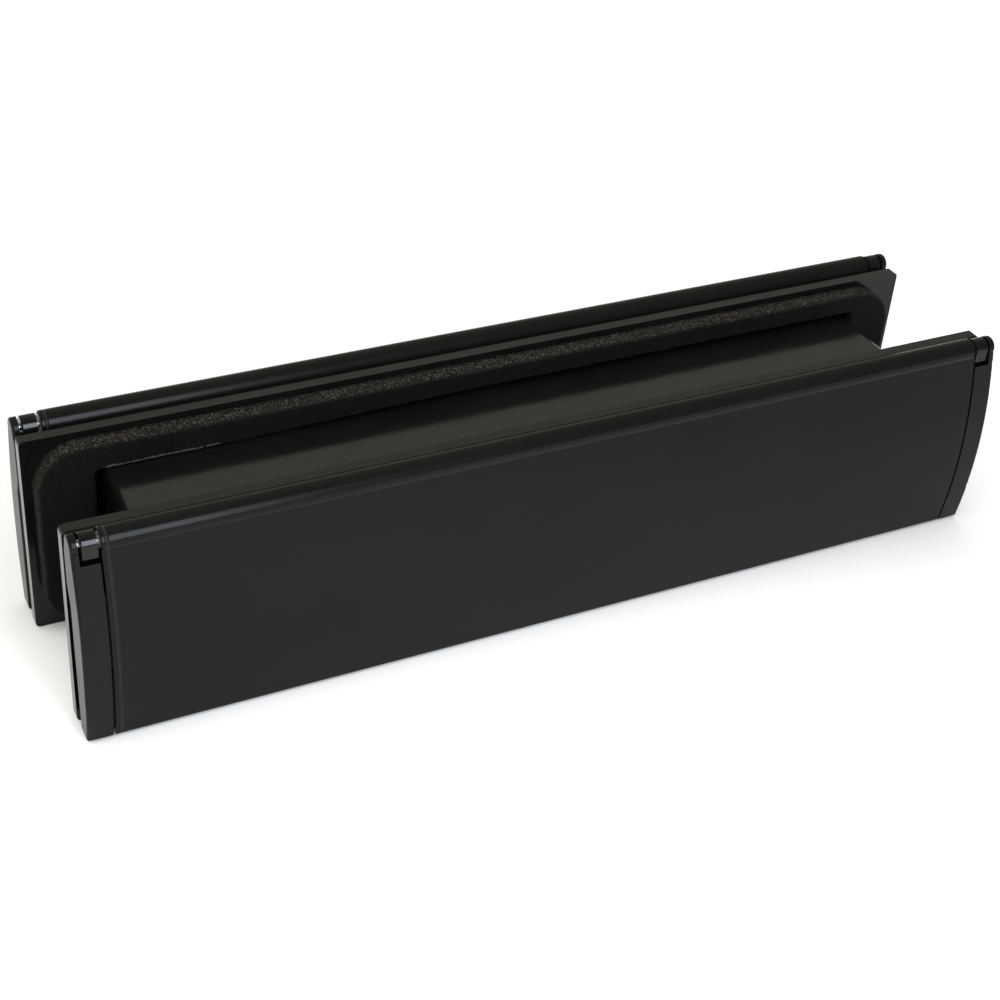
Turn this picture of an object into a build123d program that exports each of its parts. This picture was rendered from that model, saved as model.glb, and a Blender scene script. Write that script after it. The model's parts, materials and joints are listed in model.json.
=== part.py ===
"""Telescopic letter plate for a 40 to 70 mm door.

Two sprung flap assemblies, one each side of the door, joined by two sleeves that slide in
each other. X runs along the plate's width, Y through the door (the street side is at -Y),
Z is up, and Z = 0 is the lower edge of both plates. Everything is in millimetres.
"""
import os
from math import cos, radians, sin, sqrt

from build123d import *

os.makedirs("parts", exist_ok=True)

# ---- driving dimensions ------------------------------------------------------------------
PLATE_WIDTH = 310.0
PLATE_HEIGHT = 68.0
PLATE_THICKNESS = 3.7
PLATE_CORNER = 1.6
DOOR_GAP = 42.0  # between the two plates' door sides, as assembled
SHORTEST_GAP = 40.0  # the same distance with the sleeves pushed fully together
SLIDE_GAP = 0.5  # end clearance left at the shortest gap

HINGE_BAND_LOW = 51.5  # the plate is thicker above this level
HINGE_BAND_THICKNESS = 4.5
HINGE_BAND_RAMP = 0.8
HINGE_BAND_INSET = 0.35
HINGE_BAND_BEVEL = 0.6  # drop of the bevel along the band's top

PIVOT_OUT = 9.3  # hinge axis, measured out from the plate's door side
PIVOT_Z = 67.3
BARREL_RADIUS = 3.75
BARREL_BORE = 2.4
CREASE_ANGLE = 20.0  # where the barrel runs into the flap's face, below the horizontal
BARREL_BEVEL = 0.45  # on the barrel's ends

FLAP_PROJECTION = 16.9  # furthest point of the bowed face, out from the door side
BOW_RADIUS = 158.0
BOW_LEVEL = 30.0  # height of the bow's furthest point
FLAP_WALL = 1.6
FLAP_BOTTOM = 0.5
FLAP_LIP_BACK = 8.3
FLAP_END = 146.6  # half length of the extruded flap

CAP_START = 147.3  # inner end of a cap's visible body
CAP_WALL_START = 152.8
CAP_BOTTOM = 1.1
CAP_BACK_TOP = 5.1
CAP_BACK_LOW = 7.2
CAP_BACK_BOTTOM = 8.0
CAP_STEP_TOP = 52.0
CAP_STEP_LOW = 46.0
CAP_EDGE = 0.8
CAP_CREASE_ANGLE = 15.0  # as the flap's, at the lug's radius
NOTCH_RADIUS = 6.3

LUG_START = 147.4
LUG_END = 152.0
LUG_RADIUS = 3.3
LUG_WEB_TOP = 66.4
LUG_BOTTOM = 63.4
LUG_CORNER = 0.6
LUG_EDGE = 0.4

PIN_RADIUS = 1.2
PIN_START = 122.0
PIN_END = 153.9
FIXED_FIT = 0.02  # radial clearance of a pressed pin
TURNING_FIT = 0.06  # radial clearance of a turning pin
BUSH_LENGTH = 6.0
SPRING_MEAN_RADIUS = 1.8
SPRING_WIRE = 0.5
SPRING_PITCH = 0.8
SPRING_START = 126.5
SPRING_TURNS = 14
COLLAR_LENGTH = 3.0
COLLAR_RADIUS = 2.15

APERTURE_WIDTH = 232.0
APERTURE_HEIGHT = 36.0
APERTURE_CORNER = 3.0
RIM_WALL = 2.2  # the raised rim round the aperture
RIM_SEAL = 1.8  # foam on the rim's edge
RIM_GAP = 0.3  # left between the seal and the shut flap

SLEEVE_WIDTH = 264.0
SLEEVE_HEIGHT = 46.0
SLEEVE_WALL = 1.8
SLEEVE_CLEARANCE = 0.3
SLEEVE_CORNER = 2.0
SLEEVE_GROOVE = 1.6  # how far a sleeve is let into its frame
OUTER_LEAD = 0.6

GASKET_WIDTH = 302.0
GASKET_SHIFT = -1.2  # stuck on a little to the left
GASKET_LOW = 2.5
GASKET_HIGH = 66.0
GASKET_CORNER = 14.0
INNER_GASKET_THICKNESS = 5.8
OUTER_GASKET_THICKNESS = 2.8
GASKET_CLEARANCE = 1.8

BOLT_X = 123.5
BOLT_RADIUS = 2.5
BOLT_LENGTH = 45.0
BOLT_HEAD_RADIUS = 4.25
BOLT_HEAD_HEIGHT = 2.8
BOLT_SEAT = 2.5  # underside of the bolt's head, out from the inner plate's door side
BOLT_CLEARANCE = 0.2
PILLAR_RADIUS = 4.5
PILLAR_END = 16.0
PILLAR_FLOOR = 2.8  # depth of the blind bore in the outer plate
INSERT_RADIUS = 3.2
INSERT_LENGTH = 8.0

# ---- worked out --------------------------------------------------------------------------
MIDDLE_Z = PLATE_HEIGHT / 2
FACE = DOOR_GAP / 2
CLOSING = DOOR_GAP - SHORTEST_GAP
CREASE_Z = PIVOT_Z - BARREL_RADIUS * sin(radians(CREASE_ANGLE))
CAP_CREASE_Z = PIVOT_Z - LUG_RADIUS * sin(radians(CAP_CREASE_ANGLE))
BOW_CENTRE = FLAP_PROJECTION - BOW_RADIUS
SIDES = {"outer": -1, "inner": 1}
ENDS = {"left": -1, "right": 1}


def at(side, out):
    """Y of a point at a distance out from one plate's door side."""
    return side * (FACE + out)


def bow(z, inset=0.0):
    """Distance out of the flap's bowed face, or of a surface inset from it, at one level."""
    return BOW_CENTRE + sqrt((BOW_RADIUS - inset) ** 2 - (z - BOW_LEVEL) ** 2)


def bow_arc(side, low, high, inset=0.0):
    """Arc of the bowed face, or of one inset from it, from the low level to the high one."""
    levels = (low, (low + high) / 2, high)
    return ThreePointArc(*[(at(side, bow(z, inset)), z) for z in levels])


def slab_plane(side, near, far):
    """Plane on the +Y side of a slab across the door; the slab is extruded towards -Y."""
    return Plane.XZ.offset(-max(at(side, near), at(side, far)))


def end_plane(end, start, stop):
    """Plane on the -X side of a slab at one end; the slab is extruded towards +X."""
    return Plane.YZ.offset(min(end * start, end * stop))


def pivot(side):
    """Hinge axis in the YZ plane."""
    return (at(side, PIVOT_OUT), PIVOT_Z)


def bored_axis(side, end, x):
    """Plane square to the hinge axis at one end, looking inwards from a distance along it."""
    return Plane(origin=(end * x, *pivot(side)), x_dir=(0, 1, 0), z_dir=(-end, 0, 0))


def bolt_plane(y, end):
    """Plane square to a fixing bolt, looking towards the inner side of the door."""
    return Plane(origin=(end * BOLT_X, y, MIDDLE_Z), x_dir=(1, 0, 0), z_dir=(0, 1, 0))


def save(part, name):
    part.label = name
    export_step(part, f"parts/{name}.step")


# ---- frames ------------------------------------------------------------------------------
def make_frame(side):
    """Plate with its thicker hinge band, raised aperture rim, lugs and bolt fixings."""
    seal_inset = FLAP_WALL + RIM_GAP + RIM_SEAL
    rim_low = MIDDLE_Z - APERTURE_HEIGHT / 2 - RIM_WALL
    rim_high = MIDDLE_Z + APERTURE_HEIGHT / 2 + RIM_WALL
    lugs = [make_lug(side, end) for end in ENDS.values()]
    pillars = [make_pillar(end) for end in ENDS.values()]
    bolt_holes = [make_bolt_hole(side, end) for end in ENDS.values()]
    with BuildPart() as frame:
        # the rim stands out from the plate as far as the seal that it carries
        with BuildSketch(slab_plane(side, 0, FLAP_PROJECTION)):
            with Locations((0, MIDDLE_Z)):
                RectangleRounded(
                    APERTURE_WIDTH + 2 * RIM_WALL,
                    APERTURE_HEIGHT + 2 * RIM_WALL,
                    APERTURE_CORNER + RIM_WALL,
                )
        extrude(amount=FLAP_PROJECTION)
        with BuildSketch(Plane.YZ.offset(-PLATE_WIDTH / 2)):
            with BuildLine():
                front = bow_arc(side, rim_low - 1, rim_high + 1, seal_inset)
                Polyline(front @ 1, (at(side, 0), rim_high + 1), (at(side, 0), rim_low - 1), front @ 0)
            make_face()
        extrude(amount=PLATE_WIDTH, mode=Mode.INTERSECT)

        with BuildSketch(slab_plane(side, 0, PLATE_THICKNESS)):
            with Locations((0, MIDDLE_Z)):
                RectangleRounded(PLATE_WIDTH, PLATE_HEIGHT, PLATE_CORNER)
        extrude(amount=PLATE_THICKNESS)

        with BuildSketch(Plane.YZ.offset(HINGE_BAND_INSET - PLATE_WIDTH / 2)):
            with BuildLine():
                Polyline(
                    (at(side, 1), HINGE_BAND_LOW),
                    (at(side, PLATE_THICKNESS), HINGE_BAND_LOW),
                    (at(side, HINGE_BAND_THICKNESS), HINGE_BAND_LOW + HINGE_BAND_RAMP),
                    (at(side, HINGE_BAND_THICKNESS), PLATE_HEIGHT - HINGE_BAND_BEVEL),
                    (at(side, PLATE_THICKNESS), PLATE_HEIGHT),
                    (at(side, 1), PLATE_HEIGHT),
                    close=True,
                )
            make_face()
        extrude(amount=PLATE_WIDTH - 2 * HINGE_BAND_INSET)
        with BuildSketch(slab_plane(side, 0, FLAP_PROJECTION)):
            with Locations((0, MIDDLE_Z)):
                RectangleRounded(PLATE_WIDTH, PLATE_HEIGHT, PLATE_CORNER)
        extrude(amount=FLAP_PROJECTION, mode=Mode.INTERSECT)

        add(lugs)
        with BuildSketch(slab_plane(side, 0, FLAP_PROJECTION)):
            with Locations((0, MIDDLE_Z)):
                RectangleRounded(APERTURE_WIDTH, APERTURE_HEIGHT, APERTURE_CORNER)
        extrude(amount=FLAP_PROJECTION, mode=Mode.SUBTRACT)
        with BuildSketch(slab_plane(side, 0, SLEEVE_GROOVE)):
            sleeve_ring(side)
        extrude(amount=SLEEVE_GROOVE, mode=Mode.SUBTRACT)
        if side == SIDES["outer"]:
            add(pillars)
        add(bolt_holes, mode=Mode.SUBTRACT)
    return frame.part


def make_lug(side, end):
    """Hinge lug that stands out of the plate's top corner, bored for its pin."""
    with BuildPart() as lug:
        with BuildSketch(end_plane(end, LUG_START, LUG_END)) as section:
            with BuildLine():
                Polyline(
                    (at(side, 1), LUG_BOTTOM),
                    (at(side, 1), LUG_WEB_TOP),
                    (at(side, PIVOT_OUT), LUG_WEB_TOP),
                    pivot(side),
                    (at(side, PIVOT_OUT + LUG_RADIUS), PIVOT_Z),
                    (at(side, PIVOT_OUT + LUG_RADIUS), LUG_BOTTOM),
                    close=True,
                )
            make_face()
            with Locations(pivot(side)):
                Circle(LUG_RADIUS)
            low_front = section.vertices().group_by(Axis.Y)[0].sort_by(Axis.X)[-1 if side > 0 else 0]
            fillet(low_front, LUG_CORNER)
        extrude(amount=LUG_END - LUG_START)
        outside = lug.faces().sort_by(Axis.X)[-1 if end > 0 else 0]
        fillet(outside.edges(), LUG_EDGE)
        with BuildSketch(end_plane(end, LUG_START, LUG_END)):
            with Locations(pivot(side)):
                Circle(PIN_RADIUS + FIXED_FIT)
        extrude(amount=LUG_END - LUG_START, mode=Mode.SUBTRACT)
    return lug.part


def make_pillar(end):
    """Pillar behind the outer frame, inside the sleeves, that takes one bolt."""
    with BuildPart() as pillar:
        with BuildSketch(bolt_plane(-FACE, end)):
            Circle(PILLAR_RADIUS)
        extrude(amount=PILLAR_END + FACE)
    return pillar.part


def make_bolt_hole(side, end):
    """Space cut from a frame for one bolt: a blind bore with a pocket for the insert in the
    outer frame, a clearance hole with a counterbore for the head in the inner one."""
    floor = at(side, PILLAR_FLOOR)
    with BuildPart() as hole:
        if side == SIDES["outer"]:
            with BuildSketch(bolt_plane(floor, end)):
                Circle(BOLT_RADIUS + BOLT_CLEARANCE)
            extrude(amount=PILLAR_END - floor)
            with BuildSketch(bolt_plane(PILLAR_END - INSERT_LENGTH, end)):
                Circle(INSERT_RADIUS)
            extrude(amount=INSERT_LENGTH)
        else:
            with BuildSketch(bolt_plane(FACE, end)):
                Circle(BOLT_RADIUS + BOLT_CLEARANCE)
            extrude(amount=PLATE_THICKNESS)
            with BuildSketch(bolt_plane(at(side, BOLT_SEAT), end)):
                Circle(BOLT_HEAD_RADIUS + BOLT_CLEARANCE)
            extrude(amount=PLATE_THICKNESS - BOLT_SEAT)
    return hole.part


# ---- sleeves, gaskets and seals ----------------------------------------------------------
def sleeve_ring(side):
    """Section of one sleeve; the inner frame's sleeve is the larger and slides outside."""
    step = 0 if side == SIDES["inner"] else 2 * (SLEEVE_WALL + SLEEVE_CLEARANCE)
    width = SLEEVE_WIDTH - step
    height = SLEEVE_HEIGHT - step
    with Locations((0, MIDDLE_Z)):
        RectangleRounded(width, height, SLEEVE_CORNER)
        RectangleRounded(
            width - 2 * SLEEVE_WALL,
            height - 2 * SLEEVE_WALL,
            SLEEVE_CORNER / 2,
            mode=Mode.SUBTRACT,
        )


def make_sleeve(side):
    """Rectangular sleeve, let into its frame and stopping short of the frame opposite."""
    root = at(side, SLEEVE_GROOVE)
    tip = -side * (FACE - CLOSING - SLIDE_GAP)
    with BuildPart() as sleeve:
        with BuildSketch(Plane.XZ.offset(-max(root, tip))):
            sleeve_ring(side)
        extrude(amount=abs(root - tip))
        rim = sleeve.faces().sort_by(Axis.Y)[0 if side > 0 else -1]
        chamfer(rim.outer_wire().edges(), OUTER_LEAD)
    return sleeve.part


def make_gasket(side):
    """Foam gasket between one plate and the door, cut to go round the sleeves."""
    thickness = INNER_GASKET_THICKNESS if side == SIDES["inner"] else OUTER_GASKET_THICKNESS
    with BuildPart() as gasket:
        with BuildSketch(slab_plane(side, -thickness, 0)):
            with Locations((GASKET_SHIFT, (GASKET_LOW + GASKET_HIGH) / 2)):
                RectangleRounded(GASKET_WIDTH, GASKET_HIGH - GASKET_LOW, GASKET_CORNER)
            with Locations((0, MIDDLE_Z)):
                RectangleRounded(
                    SLEEVE_WIDTH + 2 * GASKET_CLEARANCE,
                    SLEEVE_HEIGHT + 2 * GASKET_CLEARANCE,
                    SLEEVE_CORNER,
                    mode=Mode.SUBTRACT,
                )
        extrude(amount=thickness)
    return gasket.part


def make_rim_seal(side):
    """Foam strip on the edge of the aperture's rim, shaped to the back of the shut flap."""
    low = MIDDLE_Z - APERTURE_HEIGHT / 2 - RIM_WALL
    high = MIDDLE_Z + APERTURE_HEIGHT / 2 + RIM_WALL
    with BuildPart() as seal:
        with BuildSketch(Plane.YZ.offset(-PLATE_WIDTH / 2)):
            with BuildLine():
                front = bow_arc(side, low - 1, high + 1, FLAP_WALL + RIM_GAP)
                back = bow_arc(side, low - 1, high + 1, FLAP_WALL + RIM_GAP + RIM_SEAL)
                Line(front @ 0, back @ 0)
                Line(front @ 1, back @ 1)
            make_face()
        extrude(amount=PLATE_WIDTH)
        with BuildSketch(slab_plane(side, 0, FLAP_PROJECTION)):
            with Locations((0, MIDDLE_Z)):
                RectangleRounded(
                    APERTURE_WIDTH + 2 * RIM_WALL,
                    APERTURE_HEIGHT + 2 * RIM_WALL,
                    APERTURE_CORNER + RIM_WALL,
                )
                RectangleRounded(
                    APERTURE_WIDTH, APERTURE_HEIGHT, APERTURE_CORNER, mode=Mode.SUBTRACT
                )
        extrude(amount=FLAP_PROJECTION, mode=Mode.INTERSECT)
    return seal.part


# ---- flaps -------------------------------------------------------------------------------
def make_flap(side):
    """Extruded aluminium flap: hollow barrel, bowed face and a lip turned in at the foot."""
    bevels = [make_barrel_bevel(side, end) for end in ENDS.values()]
    with BuildPart() as flap:
        with BuildSketch(Plane.YZ.offset(-FLAP_END)) as section:
            with BuildLine():
                front = bow_arc(side, FLAP_BOTTOM, CREASE_Z)
                back = bow_arc(side, FLAP_BOTTOM + FLAP_WALL, CREASE_Z, FLAP_WALL)
                Line(front @ 1, back @ 1)
                Polyline(
                    front @ 0,
                    (at(side, FLAP_LIP_BACK), FLAP_BOTTOM),
                    (at(side, FLAP_LIP_BACK), FLAP_BOTTOM + FLAP_WALL),
                    back @ 0,
                )
            make_face()
            foot = section.vertices().group_by(Axis.Y)[0].sort_by(Axis.X)[-1 if side > 0 else 0]
            fillet(foot, FLAP_WALL * 0.8)
            with Locations(pivot(side)):
                Circle(BARREL_RADIUS)
                Circle(BARREL_BORE, mode=Mode.SUBTRACT)
        extrude(amount=2 * FLAP_END)
        add(bevels, mode=Mode.SUBTRACT)
    return flap.part


def make_barrel_bevel(side, end):
    """Ring to cut from one end of a flap's barrel, above the crease."""
    with BuildPart() as ring:
        with BuildSketch(bored_axis(side, end, FLAP_END)):
            Circle(BARREL_RADIUS + 2 * BARREL_BEVEL)
        extrude(amount=BARREL_BEVEL)
        with BuildSketch(bored_axis(side, end, FLAP_END)):
            Circle(BARREL_RADIUS - BARREL_BEVEL)
        extrude(amount=BARREL_BEVEL, taper=-45, mode=Mode.SUBTRACT)
        with BuildSketch(end_plane(end, FLAP_END - BARREL_BEVEL, FLAP_END)):
            with Locations((at(side, PIVOT_OUT), CREASE_Z + 2 * BARREL_RADIUS)):
                Rectangle(4 * BARREL_RADIUS, 4 * BARREL_RADIUS)
        extrude(amount=BARREL_BEVEL, mode=Mode.INTERSECT)
    return ring.part


def cap_section(side):
    """Full side profile of an end cap, which matches the flap's outside."""
    with BuildSketch() as section:
        with BuildLine():
            front = bow_arc(side, CAP_BOTTOM, CAP_CREASE_Z)
            Polyline(
                front @ 1,
                pivot(side),
                (at(side, PIVOT_OUT - 0.95 * LUG_RADIUS), PIVOT_Z),
                (at(side, CAP_BACK_TOP), PIVOT_Z - LUG_RADIUS),
                (at(side, CAP_BACK_TOP), CAP_STEP_TOP),
                (at(side, CAP_BACK_LOW), CAP_STEP_LOW),
                (at(side, CAP_BACK_BOTTOM), CAP_BOTTOM),
                front @ 0,
            )
        make_face()
        with Locations(pivot(side)):
            Circle(LUG_RADIUS)
    return section.sketch


def make_cap(side, end):
    """Moulded end cap: outer wall, body notched round the lug, and a tongue in the flap."""
    tongue_start = CAP_START - 9.0
    tongue_thickness = 2.2
    pocket_wall = 1.6
    profile = cap_section(side)
    with BuildPart() as cap:
        with BuildSketch(end_plane(end, CAP_WALL_START, PLATE_WIDTH / 2)):
            add(profile)
        extrude(amount=PLATE_WIDTH / 2 - CAP_WALL_START)
        outside = cap.faces().sort_by(Axis.X)[-1 if end > 0 else 0]
        fillet(outside.edges(), CAP_EDGE)

        with BuildSketch(end_plane(end, CAP_START, CAP_WALL_START)):
            add(profile)
            with Locations(pivot(side)):
                Circle(NOTCH_RADIUS, mode=Mode.SUBTRACT)
            with Locations((at(side, PIVOT_OUT), PIVOT_Z + NOTCH_RADIUS)):
                Rectangle(4 * NOTCH_RADIUS, 2 * NOTCH_RADIUS, mode=Mode.SUBTRACT)
        extrude(amount=CAP_WALL_START - CAP_START)

        with BuildSketch(end_plane(end, CAP_START, CAP_WALL_START)):
            with BuildLine():
                low = CAP_BOTTOM + 2 * pocket_wall
                high = CAP_STEP_TOP
                front = bow_arc(side, low, high, 2 * pocket_wall)
                Polyline(front @ 1, (at(side, 0), high), (at(side, 0), low), front @ 0)
            make_face()
        extrude(amount=CAP_WALL_START - CAP_START, mode=Mode.SUBTRACT)

        # tongue pushed into the end of the flap, behind its face
        with BuildSketch(end_plane(end, tongue_start, CAP_WALL_START)):
            with BuildLine():
                near = bow_arc(side, CAP_BOTTOM + 2 * pocket_wall, CAP_STEP_TOP, FLAP_WALL)
                deep = bow_arc(
                    side, CAP_BOTTOM + 2 * pocket_wall, CAP_STEP_TOP, FLAP_WALL + tongue_thickness
                )
                Line(near @ 0, deep @ 0)
                Line(near @ 1, deep @ 1)
            make_face()
        extrude(amount=CAP_WALL_START - tongue_start)

        with BuildSketch(bored_axis(side, end, PIN_END + PIN_RADIUS / 10)):
            Circle(PIN_RADIUS + TURNING_FIT)
        extrude(amount=PIN_END - CAP_WALL_START + PIN_RADIUS, mode=Mode.SUBTRACT)
    return cap.part


# ---- hinge hardware ----------------------------------------------------------------------
def make_pins(side):
    """Two steel pins, each pressed through a lug and reaching into the flap's barrel."""
    with BuildPart() as pins:
        for end in ENDS.values():
            with BuildSketch(bored_axis(side, end, PIN_END)):
                Circle(PIN_RADIUS)
            extrude(amount=PIN_END - PIN_START)
        chamfer(pins.edges().filter_by(GeomType.CIRCLE), PIN_RADIUS / 5)
    return pins.part


def make_bushes(side):
    """Two nylon bushes in the mouths of the barrel, which turn on the pins."""
    with BuildPart() as bushes:
        for end in ENDS.values():
            with BuildSketch(bored_axis(side, end, FLAP_END)):
                Circle(BARREL_BORE - FIXED_FIT)
                Circle(PIN_RADIUS + TURNING_FIT, mode=Mode.SUBTRACT)
            extrude(amount=BUSH_LENGTH)
    return bushes.part


def make_collars(side):
    """Two brass collars on the pins' inner ends, which anchor the springs."""
    with BuildPart() as collars:
        for end in ENDS.values():
            with BuildSketch(bored_axis(side, end, PIN_START + COLLAR_LENGTH + 0.5)):
                Circle(COLLAR_RADIUS)
                Circle(PIN_RADIUS + FIXED_FIT, mode=Mode.SUBTRACT)
            extrude(amount=COLLAR_LENGTH)
    return collars.part


def make_spring(side, end):
    """Torsion spring round one pin, wound to the hand that closes its flap."""
    with BuildPart() as spring:
        with BuildLine() as coil:
            Helix(
                SPRING_PITCH,
                SPRING_PITCH * SPRING_TURNS,
                SPRING_MEAN_RADIUS,
                center=(end * SPRING_START, *pivot(side)),
                direction=(end, 0, 0),
                lefthand=side * end > 0,
            )
        with BuildSketch(Plane(coil.line @ 0, z_dir=coil.line % 0)):
            Circle(SPRING_WIRE / 2)
        sweep(is_frenet=True)
    return spring.part


# ---- fixings -----------------------------------------------------------------------------
def make_bolts():
    """Two M5 pan-head bolts that draw the frames together, head on the inner side."""
    seat = at(SIDES["inner"], BOLT_SEAT)
    recess = 1.6
    with BuildPart() as bolts:
        for end in ENDS.values():
            with BuildSketch(bolt_plane(seat - BOLT_LENGTH, end)):
                Circle(BOLT_RADIUS)
            extrude(amount=BOLT_LENGTH)
            with BuildSketch(bolt_plane(seat, end)):
                Circle(BOLT_HEAD_RADIUS)
            extrude(amount=BOLT_HEAD_HEIGHT)
        rims = bolts.edges().filter_by(GeomType.CIRCLE).group_by(Axis.Y)[-1]
        fillet(rims, BOLT_HEAD_HEIGHT * 0.4)
        for end in ENDS.values():
            with BuildSketch(bolt_plane(seat + BOLT_HEAD_HEIGHT, end)):
                Rectangle(BOLT_RADIUS * 1.8, 1.0)
                Rectangle(1.0, BOLT_RADIUS * 1.8)
            extrude(amount=-recess, mode=Mode.SUBTRACT)
    return bolts.part


def make_inserts():
    """Two brass inserts in the pillars' mouths, which the bolts screw into."""
    with BuildPart() as inserts:
        for end in ENDS.values():
            with BuildSketch(bolt_plane(PILLAR_END - INSERT_LENGTH, end)):
                Circle(INSERT_RADIUS)
                Circle(BOLT_RADIUS + TURNING_FIT, mode=Mode.SUBTRACT)
            extrude(amount=INSERT_LENGTH)
    return inserts.part


for side_name, side in SIDES.items():
    save(make_frame(side), f"{side_name}_frame")
    save(make_sleeve(side), f"{side_name}_sleeve")
    save(make_gasket(side), f"{side_name}_door_gasket")
    save(make_rim_seal(side), f"{side_name}_rim_seal")
    save(make_flap(side), f"{side_name}_flap")
    save(make_pins(side), f"{side_name}_hinge_pins")
    save(make_bushes(side), f"{side_name}_hinge_bushes")
    save(make_collars(side), f"{side_name}_spring_collars")
    for end_name, end in ENDS.items():
        save(make_cap(side, end), f"{side_name}_cap_{end_name}")
        save(make_spring(side, end), f"{side_name}_spring_{end_name}")
save(make_bolts(), "fixing_bolts")
save(make_inserts(), "bolt_inserts")
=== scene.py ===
"""Looks for the telescopic letter plate: foam pieces, materials, camera and studio light."""
import json
import math

import bmesh
import bpy
from mathutils import Matrix, Vector, noise


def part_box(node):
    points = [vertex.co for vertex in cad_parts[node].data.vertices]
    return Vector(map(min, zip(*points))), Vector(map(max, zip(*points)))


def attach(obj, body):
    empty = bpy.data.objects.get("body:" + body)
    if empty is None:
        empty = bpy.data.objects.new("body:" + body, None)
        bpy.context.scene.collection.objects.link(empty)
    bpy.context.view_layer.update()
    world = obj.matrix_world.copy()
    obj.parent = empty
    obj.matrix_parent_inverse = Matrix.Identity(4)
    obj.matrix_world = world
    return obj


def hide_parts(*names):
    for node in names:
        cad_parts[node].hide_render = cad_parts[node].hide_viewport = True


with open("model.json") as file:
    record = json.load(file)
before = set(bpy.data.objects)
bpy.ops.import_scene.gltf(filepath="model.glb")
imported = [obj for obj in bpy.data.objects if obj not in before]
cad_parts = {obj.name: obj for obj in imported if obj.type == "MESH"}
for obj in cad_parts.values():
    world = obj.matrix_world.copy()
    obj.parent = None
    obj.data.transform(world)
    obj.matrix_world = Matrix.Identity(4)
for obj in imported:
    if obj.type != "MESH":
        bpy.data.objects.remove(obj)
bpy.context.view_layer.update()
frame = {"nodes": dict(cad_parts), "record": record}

SIDES = {"outer": -1, "inner": 1}

# camera, fitted to the letter plate's own size: degrees, metres, and the lens in mm
AZIMUTH = -28.885
ELEVATION = 35.307
ROLL = 4.738
DISTANCE = 0.61053
LENS = 66.21
AIM_RIGHT = -0.00575
AIM_UP = 0.01865

# floor
FLOOR_SIZE = 8
FLOOR_LEVEL = -0.00005
# centre of a pool of light painted on the floor: the floor is lighter near here
PAINTED_LIGHT_POOL_CENTRE = (-0.08, -0.2, 0)

# paint bead down each flap, near its left end: raised by a bump, and lighter in colour, which is a painted
# highlight along it
BEAD_INSET = 0.0017
BEAD_HALF_WIDTH = 0.0006
BEAD_HEIGHT = 0.0001
# lighter colour of the bead: a painted highlight
BEAD_PAINTED_HIGHLIGHT = (0.018, 0.018, 0.017)

# door gaskets
GASKET_CORNER = 0.014
GASKET_EDGE = 0.0012  # radius of the edge by the door
THIN_EDGE_SHARE = 0.3  # most of a gasket's thickness that this radius may take
CUT_OUT_CORNER = 0.002
CUT_OUT_GAP_LEFT = 0.0028
CUT_OUT_GAP_RIGHT = 0.0012
CREPT_GAP = 0.0003  # over the sleeve at the left, where the foam has crept onto it
CREEP_DEPTH = 0.002  # how much wider the gap is at the right
CREEP_MIDDLE = -0.055  # X where half of that is reached
CREEP_SPREAD = 0.018
FACE_SHARES = (0.06, 0.2, 0.4, 0.6, 0.8, 0.93, 0.985)  # of the way in to the cut-out
LUMPS_PER_METRE = 105
LUMP_HEIGHT = 0.00018
GRAINS_PER_METRE = 882
GRAIN_HEIGHT = 0.00012
# pale flecks on the foam where it meets the sleeve's top at the left, fading out to the right
SLEEVE_TOP_FLECK_COLOUR = (0.05, 0.046, 0.04)
SLEEVE_TOP_FLECK_END = -0.06  # X where the pale flecks have faded out
SLEEVE_TOP_FLECK_FADE = 0.03  # length that it fades over
NEAR = 0.001  # from the sleeve, for foam that counts as touching it

# rim seals, against the backs of the flaps
SEAL_CORNER = 0.0052
APERTURE_CORNER = 0.003
SEAL_WIDTH = 0.0022
SEAL_DEPTH = 0.0018
SEAL_PROFILE = (  # shares of the width and of the depth
    (0, 0), (0, 0.6), (0.12, 0.88), (0.3, 1), (0.5, 1), (0.7, 1), (0.88, 0.88), (1, 0.6), (1, 0))
SEAL_GRAINS_PER_METRE = 900
SEAL_GRAIN_HEIGHT = 0.00005
SEAL_SINK = 0.00006
FLAP_BACK_RADIUS = 0.156
FLAP_BACK_LEVEL = 0.030  # height of its furthest point


# ---- camera, floor and light -------------------------------------------------------------
def view_axes(azimuth, elevation, roll):
    """Right, up and back vectors of a camera that looks at the origin."""
    a, e, r = (math.radians(v) for v in (azimuth, elevation, roll))
    back = Vector((math.sin(a) * math.cos(e), -math.cos(a) * math.cos(e), math.sin(e)))
    right = Vector((0, 0, 1)).cross(back).normalized()
    up = back.cross(right)
    turned_right = right * math.cos(r) + up * math.sin(r)
    turned_up = up * math.cos(r) - right * math.sin(r)
    return turned_right, turned_up, back


def add_camera():
    right, up, back = view_axes(AZIMUTH, ELEVATION, ROLL)
    place = right * AIM_RIGHT + up * AIM_UP + back * DISTANCE
    camera = bpy.data.objects.new("camera", bpy.data.cameras.new("camera"))
    camera.matrix_world = Matrix.Translation(place) @ Matrix((right, up, back)).transposed().to_4x4()
    camera.data.lens = LENS
    camera.data.clip_start = 0.01
    bpy.context.scene.collection.objects.link(camera)
    bpy.context.scene.camera = camera


def add_lamp(name, kind, place, power, colour):
    """Lamp at a place, facing the middle of the letter plate."""
    lamp = bpy.data.lights.new(name, kind)
    lamp.energy = power
    lamp.color = colour
    piece = bpy.data.objects.new(name, lamp)
    piece.location = place
    piece.rotation_euler = (Vector((0, 0, 0.04)) - piece.location).to_track_quat("-Z", "Y").to_euler()
    bpy.context.scene.collection.objects.link(piece)
    return piece


def add_softbox(name, place, size, power, colour):
    piece = add_lamp(name, "AREA", place, power, colour)
    piece.data.shape = "RECTANGLE"
    piece.data.size, piece.data.size_y = size


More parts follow.
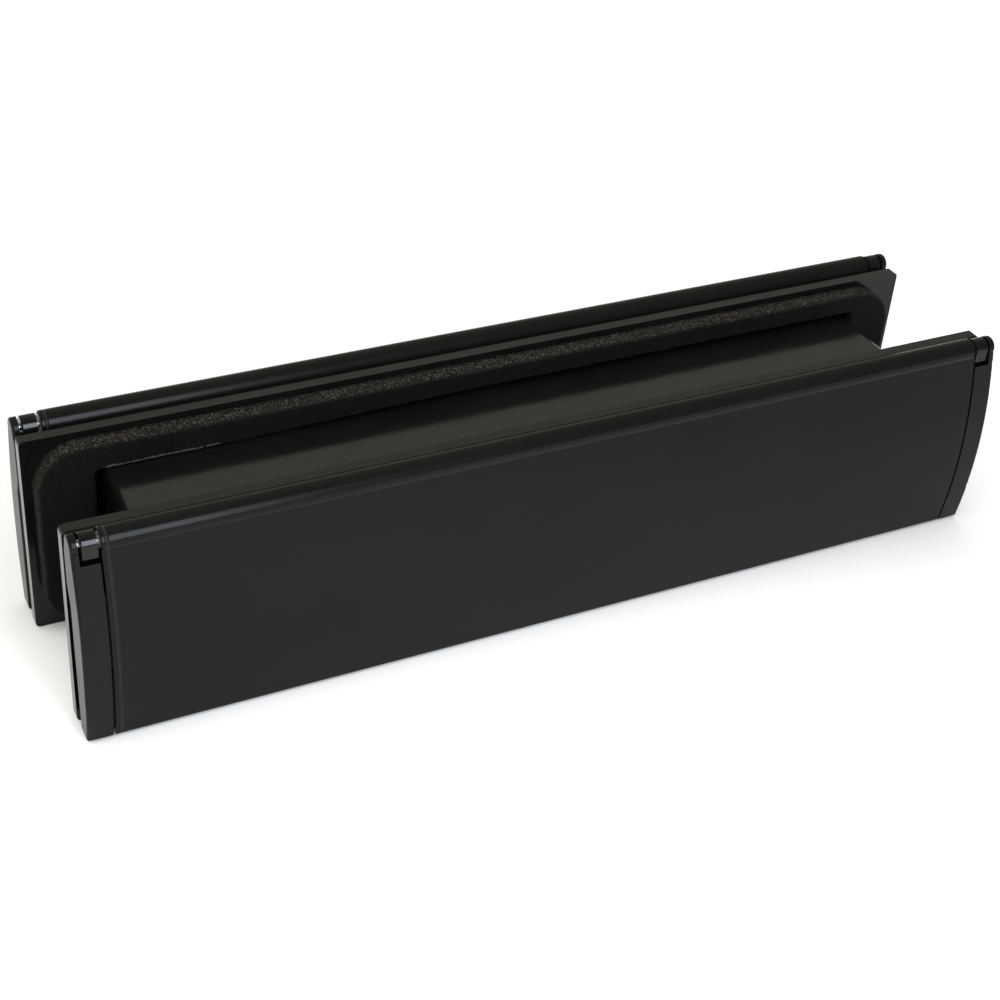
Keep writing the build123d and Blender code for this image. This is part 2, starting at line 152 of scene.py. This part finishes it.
def add_studio():
    """Even overhead light, a room that is brighter behind, two softboxes and the floor."""
    world = bpy.data.worlds.new("studio")
    world.use_nodes = True
    tree = world.node_tree
    along = node(tree, "ShaderNodeTexCoord").outputs["Generated"]
    axes = node(tree, "ShaderNodeSeparateXYZ", Vector=along).outputs
    depth = maths(tree, "SUBTRACT", axes["Y"], maths(tree, "MULTIPLY", axes["X"], 0.5))
    level = node(tree, "ShaderNodeMapRange", Value=depth, From_Min=-0.5, From_Max=0.7)
    colour = ramp(tree, level.outputs["Result"], [(0.0, (0.2, 0.2, 0.195)), (1.0, (0.66, 0.61, 0.54))])
    feed(tree, tree.nodes["Background"], Color=colour)
    bpy.context.scene.world = world
    bpy.context.scene.view_settings.view_transform = "Standard"

    overhead = add_lamp("overhead", "SUN", (-0.5, -0.4, 2.0), power=4.8, colour=(1, 1, 0.98))
    overhead.data.angle = math.radians(110)
    overhead.visible_glossy = False
    add_softbox("front_box", (0.05, -1.08, 0.57), size=(0.3, 0.9), power=11.0, colour=(0.8, 0.87, 1))
    add_softbox("left_box", (-1.15, -0.42, 0.12), size=(0.16, 0.12), power=0.35, colour=(1, 1, 1))

    bpy.ops.mesh.primitive_plane_add(size=FLOOR_SIZE, location=(0, 0, FLOOR_LEVEL))
    floor = bpy.context.object
    floor.name = "floor"
    floor.data.materials.append(floor_material())


# ---- material helpers --------------------------------------------------------------------
def new_material(name):
    """Node material, with its node tree and its Principled shader."""
    material = bpy.data.materials.new(name)
    material.use_nodes = True
    return material, material.node_tree, material.node_tree.nodes["Principled BSDF"]


def connect(tree, socket, value):
    """Gives a socket another node's output, or a plain value."""
    if isinstance(value, bpy.types.NodeSocket):
        tree.links.new(value, socket)
    else:
        socket.default_value = value


def feed(tree, target, **inputs):
    """Connects a node's inputs by name, with _ for each space."""
    for name, value in inputs.items():
        connect(tree, target.inputs[name.replace("_", " ")], value)


def node(tree, kind, **inputs):
    """New node; a name is an input where the node has one, and a setting otherwise."""
    made = tree.nodes.new(kind)
    for name, value in inputs.items():
        socket = made.inputs.get(name.replace("_", " "))
        if socket is None:
            setattr(made, name, value)
        else:
            connect(tree, socket, value)
    return made


def maths(tree, operation, first, second=0.0):
    made = node(tree, "ShaderNodeMath", operation=operation)
    connect(tree, made.inputs[0], first)
    connect(tree, made.inputs[1], second)
    return made.outputs[0]


def mix_colour(tree, factor, first, second):
    """Mix of a colour from another node with a second one, which may be plain."""
    made = node(tree, "ShaderNodeMix", data_type="RGBA", Factor=factor)
    first_socket, second_socket = made.inputs[6:8]  # after those for numbers and vectors
    connect(tree, first_socket, first)
    connect(tree, second_socket, second if isinstance(second, bpy.types.NodeSocket) else (*second, 1))
    return made.outputs[2]


def noise_at(tree, scale, detail=2.0, stretch=(1, 1, 1)):
    """Noise over the object's own metres, stretched along an axis where asked."""
    where = node(tree, "ShaderNodeTexCoord").outputs["Object"]
    mapped = node(tree, "ShaderNodeMapping", Vector=where, Scale=stretch).outputs["Vector"]
    return node(tree, "ShaderNodeTexNoise", Vector=mapped, Scale=scale, Detail=detail).outputs["Fac"]


def ramp(tree, value, stops):
    """Colour ramp through (position, colour) stops."""
    made = node(tree, "ShaderNodeValToRGB", Fac=value)
    elements = made.color_ramp.elements
    while len(elements) < len(stops):
        elements.new(0.5)
    for element, (position, colour) in zip(elements, stops):
        element.position = position
        element.color = (*colour, 1)
    return made.outputs["Color"]


def grey(level):
    return (level, level, level)


def scaled(colour, factor):
    return tuple(factor * c for c in colour)


def bump(tree, height, strength, distance, normal=None):
    """Bumped normal, over another bumped normal where one is given."""
    made = node(tree, "ShaderNodeBump", Height=height, Strength=strength, Distance=distance)
    if normal is not None:
        feed(tree, made, Normal=normal)
    return made.outputs["Normal"]


# ---- materials ---------------------------------------------------------------------------
def floor_material():
    """Pale floor with a painted pool of light: lighter in front and to the left, and darker away from
    there, in place of light that falls off to the right.
    """
    material, tree, shader = new_material("floor")
    where = node(tree, "ShaderNodeTexCoord").outputs["Object"]
    away = node(tree, "ShaderNodeVectorMath", operation="DISTANCE")
    connect(tree, away.inputs[0], where)
    connect(tree, away.inputs[1], PAINTED_LIGHT_POOL_CENTRE)
    level = node(tree, "ShaderNodeMapRange", Value=away.outputs["Value"], From_Min=0.1, From_Max=0.27)
    # painted pool of light: lighter floor near that centre, darker further away
    colour = ramp(tree, level.outputs["Result"], [(0.0, grey(0.82)), (1.0, grey(0.57))])
    feed(tree, shader, Base_Color=colour, Roughness=0.9, Specular_IOR_Level=0.0)
    return material


def moulded(name, colour, rough, grain_depth, wave_depth, specular):
    """Moulded plastic: a fine eroded grain over slow waves, and faint rubbed patches."""
    material, tree, shader = new_material(name)
    tint = ramp(tree, noise_at(tree, 60, 3), [(0.3, scaled(colour, 0.8)), (0.7, scaled(colour, 1.2))])
    spread = ramp(tree, noise_at(tree, 35, 4), [(0.3, grey(rough - 0.03)), (0.7, grey(rough + 0.04))])
    slow = bump(tree, noise_at(tree, 22, 1), 1.0, wave_depth)
    fine = bump(tree, noise_at(tree, 2600, 2), 1.0, grain_depth, slow)
    feed(tree, shader, Base_Color=tint, Roughness=spread, Normal=fine, Specular_IOR_Level=specular)
    return material


def painted(name):
    """Satin paint on an extrusion: orange peel, draw lines, and a raised paint bead by the left end, with a
    painted highlight along it.
    """
    material, tree, shader = new_material(name)
    tint = ramp(tree, noise_at(tree, 25, 3), [(0.3, (0.004, 0.004, 0.0034)), (0.7, (0.005, 0.005, 0.0043))])
    rough = ramp(tree, noise_at(tree, 45, 4), [(0.3, grey(0.19)), (0.7, grey(0.23))])
    lines = bump(tree, noise_at(tree, 260, 2, (0.02, 1, 1)), 0.5, 0.000012)
    peel = bump(tree, noise_at(tree, 700, 2), 0.6, 0.000012, lines)
    where = node(tree, "ShaderNodeTexCoord").outputs["Object"]
    across = node(tree, "ShaderNodeSeparateXYZ", Vector=where).outputs["X"]
    bead_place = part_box("outer_flap")[0][0] + BEAD_INSET
    off = maths(tree, "DIVIDE", maths(tree, "SUBTRACT", across, bead_place), BEAD_HALF_WIDTH)
    bead = maths(tree, "MAXIMUM", maths(tree, "SUBTRACT", 1.0, maths(tree, "MULTIPLY", off, off)), 0.0)
    # painted highlight: the bead's band is given a lighter colour, broken up by noise
    painted_bead_highlight = maths(tree, "MULTIPLY", bead, noise_at(tree, 90, 3))
    colour = mix_colour(tree, painted_bead_highlight, tint, BEAD_PAINTED_HIGHLIGHT)
    raised = bump(tree, bead, 1.0, BEAD_HEIGHT, peel)
    feed(tree, shader, Base_Color=colour, Roughness=rough, Normal=raised, Specular_IOR_Level=0.105)
    return material


def foam(name, dark, light, cell):
    """Black open-cell foam: fine grain on the skin, torn cells where a piece's "cut" is 1,
    and pale flecks where the foam meets the sleeve's top at the left."""
    material, tree, shader = new_material(name)
    where = node(tree, "ShaderNodeTexCoord").outputs["Object"]
    cells = node(tree, "ShaderNodeTexVoronoi", Vector=where, Scale=1 / cell).outputs["Distance"]
    torn = maths(tree, "MULTIPLY", cells, noise_at(tree, 1 / cell, 4))
    open_cells = ramp(tree, torn, [(0.24, dark), (0.31, scaled(light, 0.3)), (0.42, light)])
    grain = noise_at(tree, 1.1 / cell, 3)
    patches = ramp(tree, noise_at(tree, 40, 2), [(0.45, grey(0)), (0.65, grey(0.8))])
    tears = maths(tree, "MULTIPLY", maths(tree, "GREATER_THAN", grain, 0.67), patches)
    smooth = ramp(tree, grain, [(0.35, dark), (0.75, scaled(light, 0.14))])
    skin = mix_colour(tree, tears, smooth, scaled(light, 0.7))
    cut = node(tree, "ShaderNodeAttribute", attribute_name="cut").outputs["Fac"]
    # mark for the pale flecks by the sleeve's top
    sleeve_top_band = node(tree, "ShaderNodeAttribute", attribute_name="sleeve_top_band").outputs["Fac"]
    flecks = maths(tree, "GREATER_THAN", maths(tree, "MULTIPLY", sleeve_top_band, noise_at(tree, 600, 3)), 0.36)
    colour = mix_colour(tree, flecks, mix_colour(tree, cut, skin, open_cells), SLEEVE_TOP_FLECK_COLOUR)
    fine = bump(tree, grain, 0.5, cell * 0.12)
    deep = bump(tree, torn, cut, cell * 0.5, fine)
    feed(tree, shader, Base_Color=colour, Roughness=0.8, Normal=deep, Specular_IOR_Level=0.1)
    return material


def metal(name, colour, rough, marks_along):
    """Bright metal with fine tool marks, and a little dulling in patches."""
    material, tree, shader = new_material(name)
    marks = noise_at(tree, 1500, 3, marks_along)
    tint = ramp(tree, marks, [(0.3, scaled(colour, 0.86)), (0.7, colour)])
    spread = ramp(tree, noise_at(tree, 300, 3), [(0.3, grey(rough)), (0.7, grey(rough + 0.12))])
    worn = bump(tree, marks, 0.6, 0.000008)
    feed(tree, shader, Base_Color=tint, Roughness=spread, Normal=worn, Metallic=1.0)
    return material


def make_looks():
    """One material for each material slot of the record."""
    round_x = (0.2, 6, 6)
    round_y = (6, 0.2, 6)
    finishes = {
        "frame_plastic": (moulded, dict(colour=(0.0035, 0.0033, 0.003), rough=0.15, grain_depth=0.000003,
                                        wave_depth=0.00005, specular=0.25)),
        "sleeve_plastic": (moulded, dict(colour=(0.0035, 0.0034, 0.003), rough=0.16, grain_depth=0.000002,
                                         wave_depth=0.00008, specular=0.38)),
        "cap_plastic": (moulded, dict(colour=(0.005, 0.0048, 0.0045), rough=0.27, grain_depth=0.000007,
                                      wave_depth=0.00004, specular=0.115)),
        "flap_paint": (painted, dict()),
        "gasket_foam": (foam, dict(dark=(0.0025, 0.0025, 0.002), light=(0.045, 0.04, 0.034), cell=0.00046)),
        "seal_foam": (foam, dict(dark=grey(0.004), light=grey(0.04), cell=0.0004)),
        "pin_steel": (metal, dict(colour=(0.56, 0.56, 0.57), rough=0.22, marks_along=round_x)),
        "bush_nylon": (moulded, dict(colour=(0.6, 0.59, 0.55), rough=0.5, grain_depth=0.00001,
                                     wave_depth=0.00002, specular=0.5)),
        "collar_brass": (metal, dict(colour=(0.75, 0.57, 0.28), rough=0.25, marks_along=round_x)),
        "spring_steel": (metal, dict(colour=(0.42, 0.42, 0.45), rough=0.3, marks_along=(1, 1, 1))),
        "bolt_zinc": (metal, dict(colour=(0.68, 0.69, 0.7), rough=0.28, marks_along=round_y)),
    }
    return {slot: make(slot, **finish) for slot, (make, finish) in finishes.items()}


def dress(looks):
    """Gives every CAD node the material of its slot."""
    slots = {part["node"]: part["material_slot"] for part in frame["record"]["subparts"]}
    for name, piece in frame["nodes"].items():
        piece.data.materials.clear()
        piece.data.materials.append(looks[slots[name]])


# ---- foam pieces -------------------------------------------------------------------------
def outline(node_name):
    """Centre and size of a node's box, as (x, z)."""
    low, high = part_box(node_name)
    return ((low + high) / 2).xz, (high - low).xz


def rounded_loop(centre, size, corner, per_side=420, per_end=90, per_corner=16):
    """Closed loop of (x, z) points round a rectangle with rounded corners."""
    loop = []
    for turn, count in zip(range(4), (per_side, per_end, per_side, per_end)):
        angle = math.radians(90 * turn)
        along = Vector((math.cos(angle), math.sin(angle)))
        out = Vector((along.y, -along.x))
        length, reach = (size[0], size[1]) if turn % 2 == 0 else (size[1], size[0])
        start = out * reach / 2 - along * (length / 2 - corner)
        for i in range(count):
            loop.append(centre + start + along * (length - 2 * corner) * i / count)
        pivot = start + along * (length - 2 * corner) - out * corner
        for i in range(per_corner):
            swing = math.radians(90 * i / per_corner)
            loop.append(centre + pivot + corner * (out * math.cos(swing) + along * math.sin(swing)))
    return loop


def ring_mesh(name, rings, cut_levels, roughen):
    """Closed ring of foam through a list of equal loops, roughened in place."""
    mesh = bmesh.new()
    cut_layer = mesh.verts.layers.float.new("cut")
    sleeve_top_band_layer = mesh.verts.layers.float.new("sleeve_top_band")
    made = []
    for ring, cut in zip(rings, cut_levels):
        row = []
        for place in ring:
            vertex = mesh.verts.new(place)
            vertex[cut_layer] = cut
            vertex[sleeve_top_band_layer] = 0.0
            row.append(vertex)
        made.append(row)
    count = len(made[0])
    for i, row in enumerate(made):
        following = made[(i + 1) % len(made)]
        for j in range(count):
            k = (j + 1) % count
            mesh.faces.new((row[j], row[k], following[k], following[j]))
    bmesh.ops.recalc_face_normals(mesh, faces=mesh.faces)
    mesh.normal_update()
    roughen(mesh, sleeve_top_band_layer)
    data = bpy.data.meshes.new(name)
    mesh.to_mesh(data)
    mesh.free()
    data.polygons.foreach_set("use_smooth", [True] * len(data.polygons))
    piece = bpy.data.objects.new(name, data)
    bpy.context.scene.collection.objects.link(piece)
    return piece


def make_gasket(side_name, side, look):
    """Door gasket: rounded at its door side, with torn cut edges and an uneven cut-out."""
    node_name = f"{side_name}_door_gasket"
    low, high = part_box(node_name)
    sleeve_low, sleeve_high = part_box("inner_sleeve")
    centre, size = outline(node_name)
    hole_centre, hole = outline("inner_sleeve")
    plate, door = (high.y, low.y) if side > 0 else (low.y, high.y)
    thick = abs(plate - door)
    edge = min(GASKET_EDGE, thick * THIN_EDGE_SHARE)

    def clearance(x):
        """Space above and below the sleeve, which widens to the right."""
        return CREPT_GAP + CREEP_DEPTH / (1 + math.exp(-(x - CREEP_MIDDLE) / CREEP_SPREAD))

    def outer_ring(inset, depth):
        loop = rounded_loop(centre, size - Vector((2, 2)) * inset, GASKET_CORNER - inset)
        return [Vector((p.x, plate - side * depth, p.y)) for p in loop]

    def face_ring(share, depth):
        outside = rounded_loop(centre, size - Vector((2, 2)) * edge, GASKET_CORNER - edge)
        inside = rounded_loop(hole_centre, hole, CUT_OUT_CORNER)
        ring = []
        for a, b in zip(outside, inside):
            away = b - hole_centre
            if abs(away.x) > hole.x / 2 - CUT_OUT_CORNER:
                b = b + Vector((-CUT_OUT_GAP_LEFT, 0) if away.x < 0 else (CUT_OUT_GAP_RIGHT, 0))
            if abs(away.y) > hole.y / 2 - CUT_OUT_CORNER:
                b = b + Vector((0, math.copysign(clearance(b.x), away.y)))
            p = a.lerp(b, share)
            ring.append(Vector((p.x, plate - side * depth, p.y)))
        return ring

    rings = [outer_ring(0, depth) for depth in (0, thick * 0.25, thick * 0.5, thick - edge)]
    cuts = [1, 1, 1, 1]
    for step in (1, 2, 3):
        swing = math.radians(30 * step)
        rings.append(outer_ring(edge * (1 - math.cos(swing)), thick - edge * (1 - math.sin(swing))))
        cuts.append(1 - step / 3)
    for share in FACE_SHARES:
        rings.append(face_ring(share, thick))
        cuts.append(0)
    rings += [face_ring(1.0, thick - edge * 0.35), face_ring(1.0, thick * 0.5), face_ring(1.0, 0)]
    cuts += [0.6, 1, 1]

    def roughen(mesh, sleeve_top_band_layer):
        for vertex in mesh.verts:
            if abs(vertex.co.y - plate) < 1e-6:
                continue
            lump = noise.noise(vertex.co * LUMPS_PER_METRE) * LUMP_HEIGHT
            grain = noise.noise(vertex.co * GRAINS_PER_METRE) * GRAIN_HEIGHT
            vertex.co += vertex.normal * (lump + grain - GRAIN_HEIGHT)
            # pale flecks on foam by the sleeve's top at the door side, fading out to the right
            by_sleeve = abs(vertex.co.z - sleeve_high.z) < NEAR and vertex.co.x > sleeve_low.x + NEAR
            if by_sleeve and abs(vertex.co.y - door) < NEAR:
                vertex[sleeve_top_band_layer] = min(max((SLEEVE_TOP_FLECK_END - vertex.co.x) / SLEEVE_TOP_FLECK_FADE, 0.0), 1.0)

    piece = ring_mesh(f"{side_name}_gasket_foam", rings, cuts, roughen)
    piece.data.materials.append(look)
    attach(piece, f"{side_name}_half")
    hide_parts(node_name)


def make_seal(side_name, side, look):
    """Draught seal on the aperture's rim, domed, and following the shut flap's back."""
    node_name = f"{side_name}_rim_seal"
    low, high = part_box(node_name)
    centre, size = outline(node_name)
    crest = high.y if side > 0 else low.y

    def front(z):
        """Y of the seal's domed top at one level."""
        reach = math.sqrt(FLAP_BACK_RADIUS ** 2 - (z - FLAP_BACK_LEVEL) ** 2)
        return crest - side * (FLAP_BACK_RADIUS - reach)

    rings, cuts = [], []
    for share, rise in SEAL_PROFILE:
        inset = SEAL_WIDTH * share
        corner = SEAL_CORNER + (APERTURE_CORNER - SEAL_CORNER) * share
        loop = rounded_loop(centre, size - Vector((2, 2)) * inset, corner)
        rings.append([Vector((p.x, front(p.y) - side * SEAL_DEPTH * (1 - rise), p.y)) for p in loop])
        cuts.append(1.0 if rise < 0.7 else 0.0)

    def roughen(mesh, _sleeve_top_band_layer):
        for vertex in mesh.verts:
            grain = noise.noise(vertex.co * SEAL_GRAINS_PER_METRE) * SEAL_GRAIN_HEIGHT
            vertex.co -= vertex.normal * (SEAL_SINK + grain)

    piece = ring_mesh(f"{side_name}_seal_foam", rings, cuts, roughen)
    piece.data.materials.append(look)
    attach(piece, f"{side_name}_half")
    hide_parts(node_name)


add_camera()
add_studio()
looks = make_looks()
dress(looks)
for side_name, side in SIDES.items():
    make_gasket(side_name, side, looks["gasket_foam"])
    make_seal(side_name, side, looks["seal_foam"])
